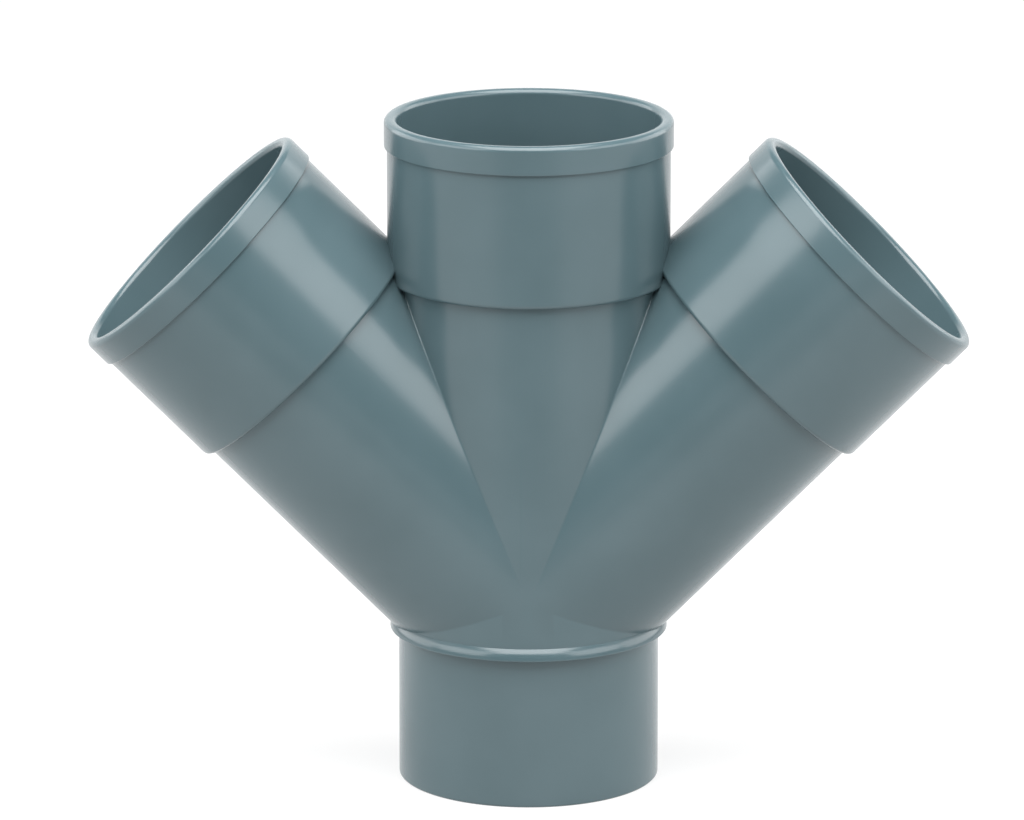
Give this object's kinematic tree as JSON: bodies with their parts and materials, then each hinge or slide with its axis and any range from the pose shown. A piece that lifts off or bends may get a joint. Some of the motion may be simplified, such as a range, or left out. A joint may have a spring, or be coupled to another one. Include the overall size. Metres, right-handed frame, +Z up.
{
  "type": "double wye",
  "caption": "Moulded plastic double wye for drain pipe: a straight run with a spigot below, a socket on top and two opposite 45 degree branches that end in sockets.",
  "frame": {"origin": "middle of the spigot's end face, where the fitting stands", "axes": "+Z up the run to the top socket, +X to the right branch, -Y to the front"},
  "size_m": [0.2524, 0.0826, 0.1941],
  "materials": {
    "grey_pvc": "satin grey-blue moulded plastic"
  },
  "bodies": {
    "root": {"double_wye": "grey_pvc"}
  },
  "joints": []
}
